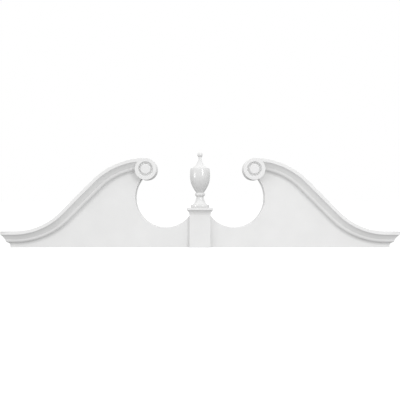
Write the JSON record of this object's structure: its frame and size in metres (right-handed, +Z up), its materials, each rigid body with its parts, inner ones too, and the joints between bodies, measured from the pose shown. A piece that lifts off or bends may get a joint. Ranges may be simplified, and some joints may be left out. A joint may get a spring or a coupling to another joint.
{
  "type": "rams head pediment",
  "caption": "Swan-neck door-head pediment in white polyurethane, with raking crown mouldings that end in volutes, a moulded plinth block and a turned covered urn in the middle.",
  "frame": {"origin": "middle of the flat underside: halfway along the width, and halfway between the back and the crown's front", "axes": "+X to the right along the width, +Y from the front towards the wall, +Z up"},
  "size_m": [2.134, 0.115, 0.5154],
  "materials": {
    "body_paint": "satin white primer on moulded rigid polyurethane",
    "plinth_paint": "satin white primer on moulded rigid polyurethane",
    "urn_paint": "white paint with a soft gloss on moulded rigid polyurethane"
  },
  "bodies": {
    "root": {"pediment_body": "body_paint", "plinth_block": "plinth_paint", "urn_finial": "urn_paint"}
  },
  "joints": []
}
